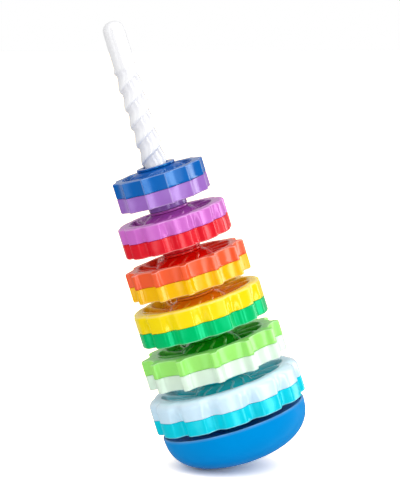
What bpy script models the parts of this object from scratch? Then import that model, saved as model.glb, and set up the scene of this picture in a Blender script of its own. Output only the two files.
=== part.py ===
"""Gear stacking toy: six toothed discs that spin down a two-start corkscrew pole.

The pole stands in a weighted, round-bottomed base, so the toy rocks and rights itself.
Each gear is two toothed half shells, a hub bush, and a follower with two lugs that run
in the pole's grooves. Gear 1 is the smallest and sits at the top.
Sizes are in metres and +Z is up. The origin is under the base, on the pole's axis.
"""

import math
from collections import namedtuple

import bmesh
import bpy
import numpy as np

# Pole: a two-start, right-handed corkscrew with a smooth tip
POLE_TOP_Z = 0.401
TIP_TOP_RADIUS = 0.0094
TIP_ROOT_RADIUS = 0.0097
TIP_ROUNDING = 0.0075
TIP_FLAT_DEG = 12
THREAD_TOP_Z = 0.358
THREAD_CORE_RADIUS = 0.0092
THREAD_RIDGE_RADIUS = 0.01095
THREAD_LEAD = 0.033
THREAD_STARTS = 2
RIDGE_AT_X_Z = 0.2918  # height at which a ridge crosses the +X side
STEPS_PER_TURN = 10
TIP_FACETS = 14
POLE_BORE_RADIUS = 0.0062
POLE_END_WALL = 0.008
FOOT_RADIUS = 0.026
FOOT_THICKNESS = 0.0075
# One start's section: (share of its pitch, share of the ridge's height). The steep
# side, from the last point to the first, is the underside of the ridge.
GROOVE_SECTION = ((0.02, 0.0), (0.24, 0.0), (0.60, 0.75), (0.85, 1.0), (0.95, 0.75))
RIDGE_SHARE = 0.85
LUG_SHARE = 0.20

# Clearances
SEAT_GAP = 0.0003
BORE_CLEARANCE = 0.00065
LUG_CLEARANCE = 0.00035
BOWL_CLEARANCE = 0.0011
SLEEVE_CLEARANCE = 0.0008

# Base: superellipse bowl, recessed cover, ring of cast iron on a centre post
BOWL_RIM_RADIUS = 0.0648
BOWL_HEIGHT = 0.042
BOWL_POWER = 2.65
BOWL_WALL = 0.0026
BOWL_LIP = 0.0007
FOOT_FLAT_RADIUS = 0.013
POST_RADIUS = 0.012
POST_WALL = 0.003
COVER_SEAT_DEPTH = 0.0048
COVER_THICKNESS = 0.0032
COVER_STEP = 0.001
COVER_SEAT_RADIUS = 0.027
BALLAST_SHARE = 0.38
LOCK_RING_WIDTH = 0.007
LOCK_RING_THICKNESS = 0.0012
POLE_SCREW_INSET = 0.005
COVER_SCREW_INSET = 0.0105
COVER_BOSS_RADIUS = 0.0038
SCREW_COUNT = 3

# Countersunk screw
SCREW_HEAD_RADIUS = 0.0028
SCREW_HEAD_HEIGHT = 0.0016
SCREW_RADIUS = 0.0013
SCREW_LENGTH = 0.009

# Gears: sizes that all six share, measured from the seam between the half shells
TEETH = 12
NECK_DROP = 0.020
BUSH_TOP = 0.0188
SEAM_HALF_GAP = 0.00015
LOWER_HEIGHT = 0.0136
LOWER_CHAMFER = 0.001
WALL = 0.0022
PLATE = 0.002
DISH_FLOOR = 0.009
DISH_SLOPE = 0.0013
FLARE_WIDTH = 0.0091
FLARE_BEND = (0.70, 0.42)  # shares of the flare's width and height at its bend
HUB_TOP = 0.0165
HUB_RADIUS = 0.0171
HUB_BORE_RADIUS = 0.0145
NECK_LIP = 0.0015
BUSH_LIP_CHAMFER = 0.0006
FOLLOWER_TOP_SPACE = 0.001
LUG_RADIUS = 0.002
RIB_SWIRL = math.radians(28)
RIB_DROP = 0.0005
RIB_INNER_RISE = 0.0018
EDGE_ROUNDING = 0.0013

# Each gear's own sizes: radius over the teeth, depth of the teeth, height of the rim's top
# above the seam, and width of the flat on it. Gears 2, 4 and 6 have a crowned rim.
GEAR_1_RADIUS = 0.0409
GEAR_1_DEPTH = 0.0027
GEAR_1_RIM_Z = 0.0126
GEAR_1_LAND = 0.0057
GEAR_2_RADIUS = 0.0481
GEAR_2_DEPTH = 0.0038
GEAR_2_RIM_Z = 0.0138
GEAR_2_LAND = 0.0063
GEAR_2_CROWN_HEIGHT = 0.002
GEAR_2_CROWN_WIDTH = 0.003
GEAR_3_RADIUS = 0.0535
GEAR_3_DEPTH = 0.0068
GEAR_3_RIM_Z = 0.0135
GEAR_3_LAND = 0.0037
GEAR_4_RADIUS = 0.0577
GEAR_4_DEPTH = 0.0045
GEAR_4_RIM_Z = 0.016
GEAR_4_LAND = 0.0034
GEAR_4_CROWN_HEIGHT = 0.003
GEAR_4_CROWN_WIDTH = 0.0053
GEAR_5_RADIUS = 0.0629
GEAR_5_DEPTH = 0.0084
GEAR_5_RIM_Z = 0.0139
GEAR_5_LAND = 0.0062
GEAR_6_RADIUS = 0.0679
GEAR_6_DEPTH = 0.006
GEAR_6_RIM_Z = 0.0166
GEAR_6_LAND = 0.0059
GEAR_6_CROWN_HEIGHT = 0.0065
GEAR_6_CROWN_WIDTH = 0.0085

# Tooth shapes, as (share of a tooth's width, share of the tooth's depth cut away)
SCALLOPED = ((0.0, 0.0), (0.20, 0.62), (0.5, 1.0), (0.80, 0.62))
RIDGED = ((-0.075, 0.0), (0.075, 0.0), (0.21, 0.65), (0.5, 1.0), (0.79, 0.65))
LOBED = ((0.0, 1.0), (0.22, 0.22), (0.5, 0.0), (0.78, 0.22))
# Steps over a rim's rounding: (share of its height, share of its width, share of the
# teeth's depth that is left)
SHARP_EDGE = ((0.0, 0.0, 1.0), (1.0, 1.0, 1.0))
CROWNED_EDGE = ((0.0, 0.0, 1.0), (0.71, 0.29, 0.8), (1.0, 1.0, 0.35))
# One tooth of the sunk top face: (share of a tooth's width, whether it is on the rib)
RIB_TOOTH = ((-0.13, True), (0.13, True), (0.32, False), (0.68, False))

Gear = namedtuple(
    "Gear", "radius depth rim_z land edge edge_height edge_width tooth turn_deg upper lower"
)


def sharp_gear(radius, depth, rim_z, land, tooth, turn_deg, upper, lower):
    """A gear whose rim has a flat top with a small rounding at its edge."""
    edge = (SHARP_EDGE, EDGE_ROUNDING, EDGE_ROUNDING)
    return Gear(radius, depth, rim_z, land, *edge, tooth, turn_deg, upper, lower)


def crowned_gear(radius, depth, rim_z, land, crown, turn_deg, upper, lower):
    """A gear of wide lobes, whose rim rises in a crown of the given height and width."""
    return Gear(radius, depth, rim_z, land, CROWNED_EDGE, *crown, LOBED, turn_deg, upper, lower)


GEARS = (
    sharp_gear(
        GEAR_1_RADIUS, GEAR_1_DEPTH, GEAR_1_RIM_Z, GEAR_1_LAND, SCALLOPED, 7.0,
        (0.004, 0.115, 0.50), (0.39, 0.13, 0.56),
    ),
    crowned_gear(
        GEAR_2_RADIUS, GEAR_2_DEPTH, GEAR_2_RIM_Z, GEAR_2_LAND,
        (GEAR_2_CROWN_HEIGHT, GEAR_2_CROWN_WIDTH), -8.4,
        (0.57, 0.13, 0.58), (0.83, 0.012, 0.012),
    ),
    sharp_gear(
        GEAR_3_RADIUS, GEAR_3_DEPTH, GEAR_3_RIM_Z, GEAR_3_LAND, RIDGED, -3.2,
        (0.95, 0.07, 0.02), (1.0, 0.52, 0.0),
    ),
    crowned_gear(
        GEAR_4_RADIUS, GEAR_4_DEPTH, GEAR_4_RIM_Z, GEAR_4_LAND,
        (GEAR_4_CROWN_HEIGHT, GEAR_4_CROWN_WIDTH), -0.4,
        (1.0, 0.74, 0.0), (0.0, 0.52, 0.13),
    ),
    sharp_gear(
        GEAR_5_RADIUS, GEAR_5_DEPTH, GEAR_5_RIM_Z, GEAR_5_LAND, RIDGED, -0.2,
        (0.29, 0.74, 0.10), (0.74, 0.93, 0.78),
    ),
    crowned_gear(
        GEAR_6_RADIUS, GEAR_6_DEPTH, GEAR_6_RIM_Z, GEAR_6_LAND,
        (GEAR_6_CROWN_HEIGHT, GEAR_6_CROWN_WIDTH), -14.3,
        (0.74, 0.85, 0.96), (0.003, 0.58, 0.68),
    ),
)
WHITE = (0.86, 0.86, 0.88)
AZURE = (0.0, 0.25, 0.72)
ACETAL = (0.80, 0.80, 0.78)
IRON = (0.16, 0.16, 0.17)
STEEL = (0.60, 0.61, 0.63)

# Facets round a turned piece
HUB_FACETS = 20
INNER_FACETS = 12
SLEEVE_FACETS = 12
LUG_FACETS = 5
BOWL_FACETS = 28
SCREW_FACETS = 6

TOOTH_ANGLE = 2 * math.pi / TEETH
COVER_SEAT_Z = BOWL_HEIGHT - COVER_SEAT_DEPTH
BALLAST_TOP_Z = BOWL_HEIGHT * BALLAST_SHARE
POLE_SCREW_CIRCLE = FOOT_RADIUS - POLE_SCREW_INSET
COVER_SCREW_CIRCLE = BOWL_RIM_RADIUS - COVER_SCREW_INSET
GEAR_PITCH = NECK_DROP + BUSH_TOP + SEAT_GAP
LOWEST_SEAM_Z = COVER_SEAT_Z + SEAT_GAP + NECK_DROP
BORE_RADIUS = THREAD_RIDGE_RADIUS + BORE_CLEARANCE
LUG_TIP_RADIUS = max(THREAD_CORE_RADIUS, TIP_ROOT_RADIUS) + LUG_CLEARANCE
FOOT_TOP_Z = COVER_SEAT_Z - COVER_THICKNESS - SEAT_GAP
FOOT_BOTTOM_Z = FOOT_TOP_Z - FOOT_THICKNESS


def clear_scene():
    """Removes everything that the scene holds."""
    for obj in list(bpy.data.objects):
        bpy.data.objects.remove(obj, do_unlink=True)
    for collection in list(bpy.data.collections):
        bpy.data.collections.remove(collection)


def new_collection(name):
    collection = bpy.data.collections.new(name)
    bpy.context.scene.collection.children.link(collection)
    return collection


def plastic(name, colour, roughness=0.25, metallic=0.0):
    """A material with one Principled shader."""
    material = bpy.data.materials.new(name)
    material.use_nodes = True
    shader = material.node_tree.nodes["Principled BSDF"]
    shader.inputs["Base Color"].default_value = (*colour, 1.0)
    shader.inputs["Roughness"].default_value = roughness
    shader.inputs["Metallic"].default_value = metallic
    return material


def add_object(name, mesh, material, collection, parent=None, z=0.0, turn=0.0):
    """Places a mesh on the pole's axis, at a height and turned about it."""
    obj = bpy.data.objects.new(name, mesh)
    obj.location = (0.0, 0.0, z)
    obj.rotation_euler = (0.0, 0.0, turn)
    obj.parent = parent
    if material is not None:
        mesh.materials.append(material)
    collection.objects.link(obj)
    return obj


def turned(name, profile, facets, material, collection, parent=None, z=0.0, closed=True):
    """Turns a profile of (radius, height) points about Z with a Screw modifier.

    The profile runs down its outer side. An open profile starts and ends on the axis.
    """
    mesh = bpy.data.meshes.new(name)
    points = [(radius, 0.0, height) for radius, height in profile]
    edges = [(i, i + 1) for i in range(len(points) - 1)]
    if closed:
        edges.append((len(points) - 1, 0))
    mesh.from_pydata(points, edges, [])
    obj = add_object(name, mesh, material, collection, parent, z)
    screw = obj.modifiers.new("Turn", "SCREW")
    screw.axis = "Z"
    screw.steps = screw.render_steps = facets
    screw.use_merge_vertices = not closed
    screw.merge_threshold = 0.00001
    screw.use_smooth_shade = True
    return obj


def circle(radius, z, count):
    """A ring of points, as an array of one row per point."""
    angles = np.arange(count) * 2 * math.pi / count
    return np.stack([radius * np.cos(angles), radius * np.sin(angles), np.full(count, z)], 1)


def tooth_ring(gear, inset, z, kept=1.0):
    """The toothed outline, moved in by inset, with a share of its depth kept, at height z."""
    share, cut = np.array(gear.tooth).T
    angles = (np.arange(TEETH)[:, None] + share).ravel() * TOOTH_ANGLE
    radii = gear.radius - inset - np.tile(cut, TEETH) * gear.depth * kept
    return np.stack([radii * np.cos(angles), radii * np.sin(angles), np.full(len(angles), z)], 1)


def rib_ring(radius, rib_z, floor_z, swirl):
    """A ring of the sunk face, with a rib and a pocket on each tooth, turned by swirl."""
    share = np.array([at for at, _ in RIB_TOOTH])
    heights = np.array([rib_z if rib else floor_z for _, rib in RIB_TOOTH])
    angles = (np.arange(TEETH)[:, None] + share).ravel() * TOOTH_ANGLE + swirl
    return np.stack(
        [radius * np.cos(angles), radius * np.sin(angles), np.tile(heights, TEETH)], 1
    )


def angle_between(a, b):
    """The angle about Z between two vertices."""
    return a.co.xy.angle(b.co.xy)


def bridge(bm, first, second):
    """Joins two rings of vertices. Equal counts give quads, unlike counts a zip of triangles."""
    n, m = len(first), len(second)
    if n == m:
        for i in range(n):
            after = (i + 1) % n
            # This order splits each quad along the twist of the corkscrew and the ribs.
            bm.faces.new((first[after], second[after], second[i], first[i]))
        return
    nearest = min(range(m), key=lambda k: angle_between(first[0], second[k]))
    second = second[nearest:] + second[:nearest]
    i = j = 0
    while i < n or j < m:
        if j == m or (i < n and (i + 1) * m <= (j + 1) * n):
            bm.faces.new((first[i % n], first[(i + 1) % n], second[j % m]))
            i += 1
        else:
            bm.faces.new((first[i % n], second[(j + 1) % m], second[j % m]))
            j += 1


def loft(name, rings, closed=True):
    """A mesh through rings of points. Closed joins last to first, and open caps both ends."""
    bm = bmesh.new()
    loops = [[bm.verts.new(point) for point in ring] for ring in rings]
    for first, second in zip(loops, loops[1:]):
        bridge(bm, first, second)
    if closed:
        bridge(bm, loops[-1], loops[0])
    else:
        bm.faces.new(loops[0])
        bm.faces.new(loops[-1])
    bmesh.ops.recalc_face_normals(bm, faces=bm.faces)
    mesh = bpy.data.meshes.new(name)
    bm.to_mesh(mesh)
    bm.free()
    mesh.shade_smooth()
    mesh.set_sharp_from_angle(angle=math.radians(32))
    return mesh


def rod(name, radius, length, facets, collection, centre, tilt=0.0, turn=0.0):
    """A plain cylinder along Z, tilted about Y and then turned about Z: a cutter or a boss."""
    bm = bmesh.new()
    bmesh.ops.create_cone(
        bm, cap_ends=True, segments=facets, radius1=radius, radius2=radius, depth=length
    )
    mesh = bpy.data.meshes.new(name)
    bm.to_mesh(mesh)
    bm.free()
    obj = add_object(name, mesh, None, collection)
    obj.location = centre
    obj.rotation_euler = (0.0, tilt, turn)
    obj.hide_render = True
    obj.display_type = "WIRE"
    return obj


def combine(obj, operation, others):
    """Adds a Boolean modifier to obj for each of the others."""
    for other in others:
        boolean = obj.modifiers.new(other.name, "BOOLEAN")
        boolean.operation = operation
        boolean.solver = "EXACT"
        boolean.object = other


def on_circle(radius, count, z, start=0.0):
    """Evenly spaced places round the axis, each with its angle."""
    for i in range(count):
        angle = start + 2 * math.pi * i / count
        yield (radius * math.cos(angle), radius * math.sin(angle), z), angle


def thread_turn(z):
    """The corkscrew's angle at a height: 0 where a ridge crosses the +X side."""
    return 2 * math.pi * (z - RIDGE_AT_X_Z) / THREAD_LEAD


def thread_angle(share, z, start=0):
    """The angle at height z of a point that lies at this share of a start's pitch."""
    per_start = 2 * math.pi / THREAD_STARTS
    return thread_turn(z) + (share - RIDGE_SHARE + start) * per_start


def thread_ring(z):
    """The corkscrew's section at height z."""
    rise = THREAD_RIDGE_RADIUS - THREAD_CORE_RADIUS
    points = [
        (THREAD_CORE_RADIUS + rise * height, thread_angle(share, z, start))
        for start in range(THREAD_STARTS)
        for share, height in GROOVE_SECTION
    ]
    return np.array([(r * math.cos(a), r * math.sin(a), z) for r, a in points])


def tip_rings():
    """The smooth tip: a slight taper, then a quarter ellipse up to a small flat end."""
    straight_top = POLE_TOP_Z - TIP_ROUNDING
    yield circle(TIP_ROOT_RADIUS, THREAD_TOP_Z + THREAD_LEAD / STEPS_PER_TURN, TIP_FACETS)
    for angle in np.radians((0, 30, 60, 90 - TIP_FLAT_DEG)):
        radius = TIP_TOP_RADIUS * math.cos(angle)
        z = straight_top + TIP_ROUNDING * math.sin(angle) / math.cos(math.radians(TIP_FLAT_DEG))
        yield circle(radius, z, TIP_FACETS)


def make_pole(parts, cutters):
    """One moulding: foot, corkscrew and tip, hollow from below, with three screw holes."""
    steps = round((THREAD_TOP_Z - FOOT_TOP_Z) / THREAD_LEAD * STEPS_PER_TURN)
    heights = np.linspace(FOOT_TOP_Z, THREAD_TOP_Z, steps + 1)
    rings = [
        circle(POLE_BORE_RADIUS, POLE_TOP_Z - POLE_END_WALL, INNER_FACETS),
        circle(POLE_BORE_RADIUS, FOOT_BOTTOM_Z, INNER_FACETS),
        circle(FOOT_RADIUS, FOOT_BOTTOM_Z, HUB_FACETS),
        circle(FOOT_RADIUS, FOOT_TOP_Z, HUB_FACETS),
    ]
    rings += [thread_ring(z) for z in heights]
    rings += tip_rings()
    mesh = loft("pole", rings, closed=False)
    pole = add_object("pole", mesh, plastic("pole_white", WHITE, 0.3), parts)
    depth = SCREW_LENGTH - COVER_THICKNESS + SEAT_GAP
    for i, (place, _) in enumerate(
        on_circle(POLE_SCREW_CIRCLE, SCREW_COUNT, FOOT_TOP_Z - depth / 2 + SEAT_GAP)
    ):
        hole = rod(
            f"foot_hole_{i + 1}", SCREW_RADIUS + SEAT_GAP, depth + 2 * SEAT_GAP,
            SCREW_FACETS, cutters, place,
        )
        combine(pole, "DIFFERENCE", [hole])
    return pole


def bowl_radius(z, offset=0.0):
    """Radius of the bowl's superellipse at height z, moved in by offset."""
    depth = BOWL_HEIGHT - offset
    below_rim = min(1.0, max(0.0, (BOWL_HEIGHT - z) / depth))
    share = (1 - below_rim**BOWL_POWER) ** (1 / BOWL_POWER)
    return (BOWL_RIM_RADIUS - offset) * share


def bowl_height_at(radius, offset):
    """Height at which the bowl's superellipse, moved in by offset, has this radius."""
    share = radius / (BOWL_RIM_RADIUS - offset)
    return BOWL_HEIGHT - (BOWL_HEIGHT - offset) * (1 - share**BOWL_POWER) ** (1 / BOWL_POWER)


def bowl_curve(from_z, to_z, offset, count):
    """Points up the bowl's side, closer together low down, where it curves most."""
    for share in np.linspace(0, 1, count) ** 1.6:
        z = from_z + (to_z - from_z) * share
        yield bowl_radius(z, offset), z


def make_bowl(parts, cutters):
    """The rocking shell: a flat foot, a centre post for the pole, and three screw bosses."""
    post_top = FOOT_BOTTOM_Z - SEAT_GAP
    inner_z = BOWL_WALL + BOWL_LIP
    inner = list(bowl_curve(inner_z, BOWL_HEIGHT - BOWL_LIP, BOWL_WALL, 6))
    outer = list(bowl_curve(BOWL_LIP, BOWL_HEIGHT - BOWL_LIP, 0.0, 7))
    profile = [
        (0.0, BOWL_WALL),
        (POST_RADIUS - POST_WALL, BOWL_WALL),
        (POST_RADIUS - POST_WALL, post_top),
        (POST_RADIUS, post_top),
        (POST_RADIUS, BOWL_WALL),
        *inner,
        (BOWL_RIM_RADIUS - BOWL_WALL + BOWL_LIP, BOWL_HEIGHT),
        (BOWL_RIM_RADIUS - BOWL_LIP, BOWL_HEIGHT),
        *reversed(outer),
        (FOOT_FLAT_RADIUS, 0.0),
        (0.0, 0.0),
    ]
    finish = plastic("base_azure", AZURE, 0.3)
    bowl = turned("base_bowl", profile, BOWL_FACETS, finish, parts, closed=False)
    top = COVER_SEAT_Z - COVER_STEP - COVER_THICKNESS - SEAT_GAP
    # Each boss runs down into the bowl's side, until half of its outer half is in the wall.
    low = bowl_height_at(COVER_SCREW_CIRCLE + COVER_BOSS_RADIUS / 2, BOWL_WALL)
    middle = (top + low) / 2
    pilot = SCREW_LENGTH - COVER_THICKNESS + 2 * SEAT_GAP
    for i, (place, _) in enumerate(on_circle(COVER_SCREW_CIRCLE, SCREW_COUNT, middle)):
        boss = rod(
            f"boss_{i + 1}", COVER_BOSS_RADIUS, top - low, SCREW_FACETS, cutters, place
        )
        combine(bowl, "UNION", [boss])
    for i, (place, _) in enumerate(
        on_circle(COVER_SCREW_CIRCLE, SCREW_COUNT, top - pilot / 2 + SEAT_GAP)
    ):
        hole = rod(
            f"boss_hole_{i + 1}", SCREW_RADIUS + SEAT_GAP, pilot + 2 * SEAT_GAP,
            SCREW_FACETS, cutters, place,
        )
        combine(bowl, "DIFFERENCE", [hole])
    return bowl


def screw_profile(grow=0.0, extra_top=0.0):
    """A countersunk screw's half section, its head's top at height 0, or its hole's."""
    head = SCREW_HEAD_RADIUS + grow
    shank = SCREW_RADIUS + grow
    return [
        (0.0, extra_top),
        (head, extra_top),
        (head, -grow),
        (shank, -SCREW_HEAD_HEIGHT - grow),
        (shank, -SCREW_LENGTH),
        (0.0, -SCREW_LENGTH),
    ]


def countersinks(name, circle_radius, head_z, cutters):
    """Cutters for countersunk holes, each with SEAT_GAP round the screw."""
    for i, (place, _) in enumerate(on_circle(circle_radius, SCREW_COUNT, head_z)):
        profile = screw_profile(SEAT_GAP, 0.002)
        cutter = turned(f"{name}_{i + 1}", profile, SCREW_FACETS, None, cutters, closed=False)
        cutter.location = place
        cutter.hide_render = True
        cutter.display_type = "WIRE"
        yield cutter


def make_cover(parts, cutters):
    """The recessed plate in the bowl's mouth, with the raised seat that gear 6 rests on."""
    plate_top = COVER_SEAT_Z - COVER_STEP
    underside = COVER_SEAT_Z - COVER_THICKNESS
    low = underside - COVER_STEP
    edge = bowl_radius(low, BOWL_WALL) - BOWL_CLEARANCE
    inner = THREAD_RIDGE_RADIUS + SEAT_GAP
    step_in = FOOT_RADIUS + SEAT_GAP
    profile = [
        (inner, COVER_SEAT_Z),
        (COVER_SEAT_RADIUS, COVER_SEAT_Z),
        (COVER_SEAT_RADIUS + COVER_STEP, plate_top),
        (edge, plate_top),
        (edge, low),
        (step_in, low),
        (step_in, underside),
        (inner, underside),
    ]
    finish = plastic("cover_azure", AZURE, 0.35)
    cover = turned("base_cover", profile, BOWL_FACETS, finish, parts)
    cuts = list(countersinks("pole_screw_hole", POLE_SCREW_CIRCLE, COVER_SEAT_Z, cutters))
    cuts += countersinks("cover_screw_hole", COVER_SCREW_CIRCLE, plate_top, cutters)
    combine(cover, "DIFFERENCE", cuts)
    return cover


def make_ballast(parts):
    """A cast iron ring that follows the bowl's floor, and the ring that locks it down."""
    offset = BOWL_WALL + BOWL_CLEARANCE
    floor_z = offset + BOWL_LIP
    side = list(bowl_curve(floor_z, BALLAST_TOP_Z, offset, 4))
    bore = POST_RADIUS + SEAT_GAP
    profile = [(bore, BALLAST_TOP_Z), *reversed(side), (bore, floor_z)]
    iron = plastic("ballast_iron", IRON, 0.6, 0.8)
    turned("ballast_weight", profile, BOWL_FACETS, iron, parts)
    low = BALLAST_TOP_Z + SEAT_GAP
    high = low + LOCK_RING_THICKNESS
    inner = bore + SEAT_GAP
    outer = inner + LOCK_RING_WIDTH
    ring = [(inner, high), (outer, high), (outer, low), (inner, low)]
    steel = plastic("lock_ring_steel", STEEL, 0.35, 1.0)
    turned("ballast_lock_ring", ring, SLEEVE_FACETS, steel, parts)


def make_screws(name, circle_radius, head_z, parts):
    """Three countersunk screws on a circle, one object each."""
    for i, (place, _) in enumerate(on_circle(circle_radius, SCREW_COUNT, head_z)):
        steel = plastic(f"{name}_{i + 1}_steel", STEEL, 0.3, 1.0)
        screw = turned(f"{name}_{i + 1}", screw_profile(), SCREW_FACETS, steel, parts, closed=False)
        screw.location = place


def top_shell_rings(gear):
    """Rings of the upper half shell, out over the rim, down the ribbed dish and back inside."""
    valley = gear.radius - gear.depth
    dish_rim = valley - gear.land
    dish_edge = dish_rim - DISH_SLOPE
    flare_base = HUB_RADIUS + FLARE_WIDTH
    middle = (dish_edge + flare_base) / 2
    rib_edge_z = gear.rim_z - RIB_DROP
    rib_hub_z = DISH_FLOOR + RIB_INNER_RISE
    rib_middle_z = (rib_edge_z + rib_hub_z) / 2
    inner_wall = valley - WALL
    underside = DISH_FLOOR - PLATE
    rings = [tooth_ring(gear, 0.0, SEAM_HALF_GAP)]
    edge_z = gear.rim_z - gear.edge_height
    rings += [
        tooth_ring(gear, gear.edge_width * across, edge_z + gear.edge_height * up, kept)
        for up, across, kept in gear.edge
    ]
    rings += [
        rib_ring(dish_rim, gear.rim_z, gear.rim_z, 0.0),
        rib_ring(dish_edge, rib_edge_z, DISH_FLOOR, 0.0),
        rib_ring(middle, rib_middle_z, DISH_FLOOR, RIB_SWIRL / 2),
        rib_ring(flare_base, rib_hub_z, DISH_FLOOR, RIB_SWIRL),
    ]
    flare_z = DISH_FLOOR + (HUB_TOP - DISH_FLOOR) * FLARE_BEND[1]
    rings += [
        circle(HUB_RADIUS + FLARE_WIDTH * FLARE_BEND[0], flare_z, HUB_FACETS),
        circle(HUB_RADIUS, HUB_TOP, HUB_FACETS),
        circle(HUB_BORE_RADIUS, HUB_TOP, INNER_FACETS),
        circle(HUB_BORE_RADIUS, underside, INNER_FACETS),
        circle(inner_wall, underside, INNER_FACETS),
        circle(inner_wall, SEAM_HALF_GAP, INNER_FACETS),
    ]
    return rings


def bottom_shell_rings(gear):
    """Rings of the lower half shell: toothed wall, flat plate, neck with a lip, and inside."""
    inner_wall = gear.radius - gear.depth - WALL
    plate_top = -LOWER_HEIGHT + PLATE
    return [
        tooth_ring(gear, 0.0, -SEAM_HALF_GAP),
        tooth_ring(gear, 0.0, -LOWER_HEIGHT + LOWER_CHAMFER),
        tooth_ring(gear, LOWER_CHAMFER, -LOWER_HEIGHT),
        circle(HUB_RADIUS, -LOWER_HEIGHT, SLEEVE_FACETS),
        circle(HUB_RADIUS, -NECK_DROP, SLEEVE_FACETS),
        circle(BORE_RADIUS, -NECK_DROP, INNER_FACETS),
        circle(BORE_RADIUS, -NECK_DROP + NECK_LIP, INNER_FACETS),
        circle(HUB_BORE_RADIUS, -NECK_DROP + NECK_LIP, INNER_FACETS),
        circle(HUB_BORE_RADIUS, plate_top, INNER_FACETS),
        circle(inner_wall, plate_top, INNER_FACETS),
        circle(inner_wall, -SEAM_HALF_GAP, INNER_FACETS),
    ]


def make_bush(number, gear, parts, axis):
    """The plain ring in the hub, with the lip that the gear above rests on."""
    skirt = HUB_BORE_RADIUS - SLEEVE_CLEARANCE
    lip_bottom = HUB_TOP + SEAT_GAP
    low = DISH_FLOOR - PLATE + SEAT_GAP
    profile = [
        (BORE_RADIUS, BUSH_TOP),
        (HUB_RADIUS - BUSH_LIP_CHAMFER, BUSH_TOP),
        (HUB_RADIUS, BUSH_TOP - BUSH_LIP_CHAMFER),
        (HUB_RADIUS, lip_bottom),
        (skirt, lip_bottom),
        (skirt, low),
        (BORE_RADIUS, low),
    ]
    name = f"gear_{number}_hub_bush"
    turned(name, profile, SLEEVE_FACETS, plastic(name, gear.upper), parts, axis)


def make_follower(number, seam_z, parts, cutters, axis):
    """A sleeve in the neck whose two lugs reach into the pole's grooves."""
    low = -NECK_DROP + NECK_LIP + SEAT_GAP
    high = -LOWER_HEIGHT + PLATE + FOLLOWER_TOP_SPACE
    outer = HUB_BORE_RADIUS - SLEEVE_CLEARANCE
    profile = [(BORE_RADIUS, high), (outer, high), (outer, low), (BORE_RADIUS, low)]
    name = f"gear_{number}_thread_follower"
    finish = plastic(name, ACETAL, 0.4)
    sleeve = turned(name, profile, SLEEVE_FACETS, finish, parts, axis)
    middle = (low + high) / 2
    sunk_in = (outer - BORE_RADIUS) / 2
    length = BORE_RADIUS + sunk_in - LUG_TIP_RADIUS
    reach = LUG_TIP_RADIUS + length / 2
    for start in range(THREAD_STARTS):
        angle = thread_angle(LUG_SHARE, seam_z + middle, start)
        centre = (reach * math.cos(angle), reach * math.sin(angle), seam_z + middle)
        lug = rod(
            f"gear_{number}_lug_{start + 1}", LUG_RADIUS, length, LUG_FACETS, cutters, centre,
            tilt=math.pi / 2, turn=angle,
        )
        combine(sleeve, "UNION", [lug])


def make_gear(number, gear, parts, cutters):
    """One gear on its own empty, which stands on the joint's axis at the seam's height."""
    seam_z = LOWEST_SEAM_Z + (len(GEARS) - number) * GEAR_PITCH
    axis = bpy.data.objects.new(f"gear_{number}_axis", None)
    axis.location = (0.0, 0.0, seam_z)
    axis.empty_display_size = gear.radius
    parts.objects.link(axis)
    turn = math.radians(gear.turn_deg)
    for half, rings, colour in (
        ("top_shell", top_shell_rings(gear), gear.upper),
        ("bottom_shell", bottom_shell_rings(gear), gear.lower),
    ):
        name = f"gear_{number}_{half}"
        add_object(name, loft(name, rings), plastic(name, colour), parts, axis, turn=turn)
    make_bush(number, gear, parts, axis)
    make_follower(number, seam_z, parts, cutters, axis)


def main():
    clear_scene()
    parts = new_collection("gear_stacking_toy")
    cutters = new_collection("cutters")
    make_bowl(parts, cutters)
    make_cover(parts, cutters)
    make_ballast(parts)
    make_pole(parts, cutters)
    make_screws("pole_screw", POLE_SCREW_CIRCLE, COVER_SEAT_Z, parts)
    make_screws("cover_screw", COVER_SCREW_CIRCLE, COVER_SEAT_Z - COVER_STEP, parts)
    for number, gear in enumerate(GEARS, 1):
        make_gear(number, gear, parts, cutters)


main()
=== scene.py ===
"""Gear stacking toy: smooth toothed discs, corkscrew pole and rocking base, dressed and lit.

Every visible piece is a surface worked out with numpy round the toy's own axis and stands for
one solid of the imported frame. Lengths are in metres and +Z is up the pole. The toy leans in the
photograph, so the floor and the camera are turned instead of the toy.
"""

from __future__ import annotations

import logging
import math
from dataclasses import dataclass
from enum import Enum
from typing import Callable, Sequence

import bpy
import numpy as np
from mathutils import Matrix

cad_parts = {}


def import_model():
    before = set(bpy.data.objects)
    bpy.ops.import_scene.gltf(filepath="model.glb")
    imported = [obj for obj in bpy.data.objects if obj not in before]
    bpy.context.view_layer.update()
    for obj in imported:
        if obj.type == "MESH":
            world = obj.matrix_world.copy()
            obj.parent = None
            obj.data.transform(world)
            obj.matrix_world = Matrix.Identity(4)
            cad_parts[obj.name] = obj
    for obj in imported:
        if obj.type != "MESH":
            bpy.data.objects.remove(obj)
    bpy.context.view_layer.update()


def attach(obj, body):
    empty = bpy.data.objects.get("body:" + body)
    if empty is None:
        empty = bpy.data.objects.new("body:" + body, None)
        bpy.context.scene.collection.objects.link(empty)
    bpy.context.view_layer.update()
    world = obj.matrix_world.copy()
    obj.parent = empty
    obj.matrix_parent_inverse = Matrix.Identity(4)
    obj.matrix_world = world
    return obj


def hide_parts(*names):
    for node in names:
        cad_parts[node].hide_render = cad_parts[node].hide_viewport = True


Array = np.ndarray
Point = tuple[float, float]
Corner = tuple[float, float, float]
Colour = tuple[float, float, float]
Socket = bpy.types.NodeSocket
RibFunction = Callable[[Array, Array, Array], Array]

LOG = logging.getLogger("gear_stacking_toy")
TEETH = 12
TOOTH = 2 * math.pi / TEETH
SEAM_LOWEST = 0.0575
SEAM_PITCH = 0.0391
# Closed ends start this far from the axis.
AXIS_GAP = 0.0005


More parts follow.
